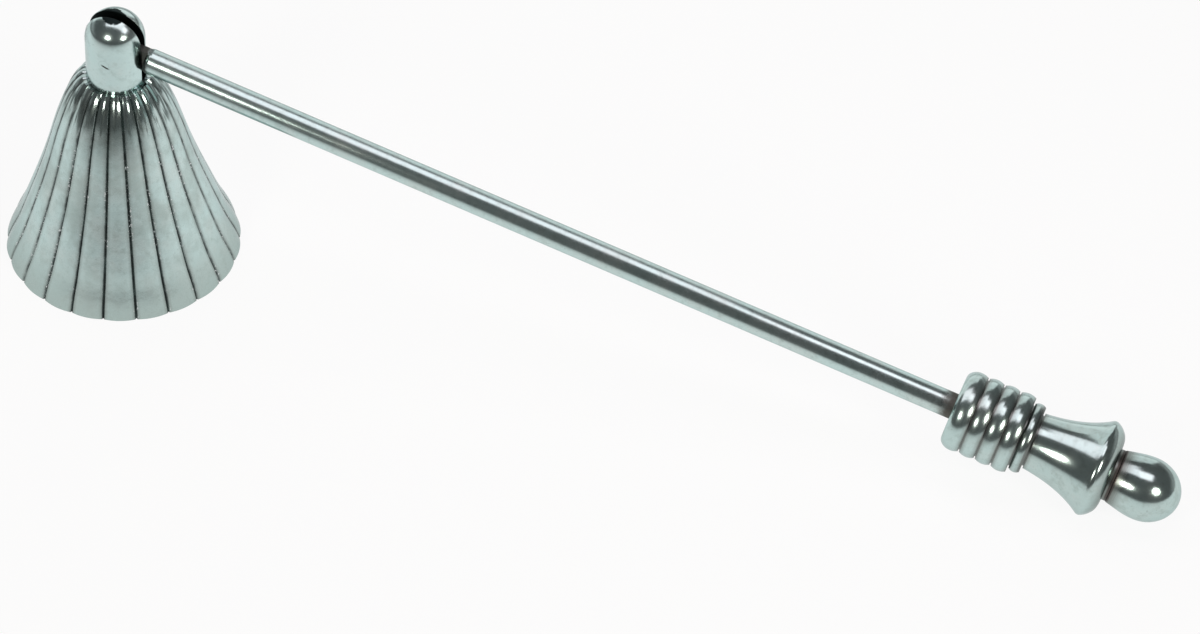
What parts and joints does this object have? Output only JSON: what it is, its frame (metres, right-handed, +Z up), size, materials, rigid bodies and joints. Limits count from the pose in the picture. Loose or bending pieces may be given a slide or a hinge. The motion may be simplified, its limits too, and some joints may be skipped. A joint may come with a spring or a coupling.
{
  "type": "candle snuffer",
  "caption": "Polished metal candle snuffer: a fluted bell hinged by a slotted knuckle to a long slender rod with a ribbed collar, a trumpet-shaped grip and a domed finial.",
  "frame": {"origin": "centre of the bell's mouth, in the plane of its rim, which stands on the table", "axes": "+Z up the bell's axis; +X along the rod, seen from above, from the bell towards the grip; +Y to the left of it"},
  "size_m": [0.2273, 0.0438, 0.0569],
  "materials": {
    "satin_silver": "satin silver plate, slightly tarnished in the grooves",
    "polished_silver": "polished silver plate",
    "steel": "plain turned steel"
  },
  "bodies": {
    "bell_group": {"bell": "satin_silver", "knuckle": "polished_silver", "hinge_pin": "polished_silver", "bell_washer": "steel", "bell_nut": "steel"},
    "handle": {"rod": "polished_silver", "collar": "polished_silver", "grip": "polished_silver", "finial": "polished_silver"}
  },
  "joints": [
    {"name": "handle_hinge", "type": "hinge", "parent": "bell_group", "child": "handle", "pos_m": [0, 0, 0.0491], "axis": [0, -1, 0], "range_deg": [0, 30]}
  ]
}
